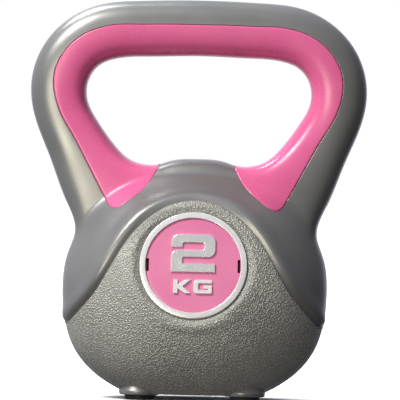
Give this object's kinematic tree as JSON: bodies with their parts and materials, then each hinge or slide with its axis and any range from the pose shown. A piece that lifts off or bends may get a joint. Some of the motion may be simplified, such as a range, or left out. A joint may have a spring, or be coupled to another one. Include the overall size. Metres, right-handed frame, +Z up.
{
  "type": "kettlebell",
  "caption": "Light kettlebell with a rounded bowl, a wide hand window, a gloss grip round the window, a round badge on each face and rubber feet.",
  "frame": {"origin": "centre of the footprint, on the plane the feet stand on", "axes": "+Z up, +X to the right seen from the front face, -Y out of the front face"},
  "size_m": [0.1612, 0.0936, 0.1913],
  "materials": {
    "satin_grey": "satin above the groove, fine leather grain on the bowl",
    "cement": "cast cement, hidden",
    "gloss_pink": "gloss",
    "gloss_pink_disc": "gloss",
    "bright_metal": "bright, mirror-like",
    "black_rubber": "matte",
    "plug_plastic": "matte"
  },
  "bodies": {
    "root": {"shell": "satin_grey", "ballast_core": "cement", "grip_front": "gloss_pink", "badge_ring_front": "bright_metal", "badge_disc_front": "gloss_pink_disc", "figure_2_front": "bright_metal", "letter_k_front": "bright_metal", "letter_g_front": "bright_metal", "grip_rear": "gloss_pink", "badge_ring_rear": "bright_metal", "badge_disc_rear": "gloss_pink_disc", "figure_2_rear": "bright_metal", "letter_k_rear": "bright_metal", "letter_g_rear": "bright_metal", "foot_front_left": "black_rubber", "foot_front_right": "black_rubber", "foot_rear_left": "black_rubber", "foot_rear_right": "black_rubber", "filler_plug": "plug_plastic"}
  },
  "joints": []
}
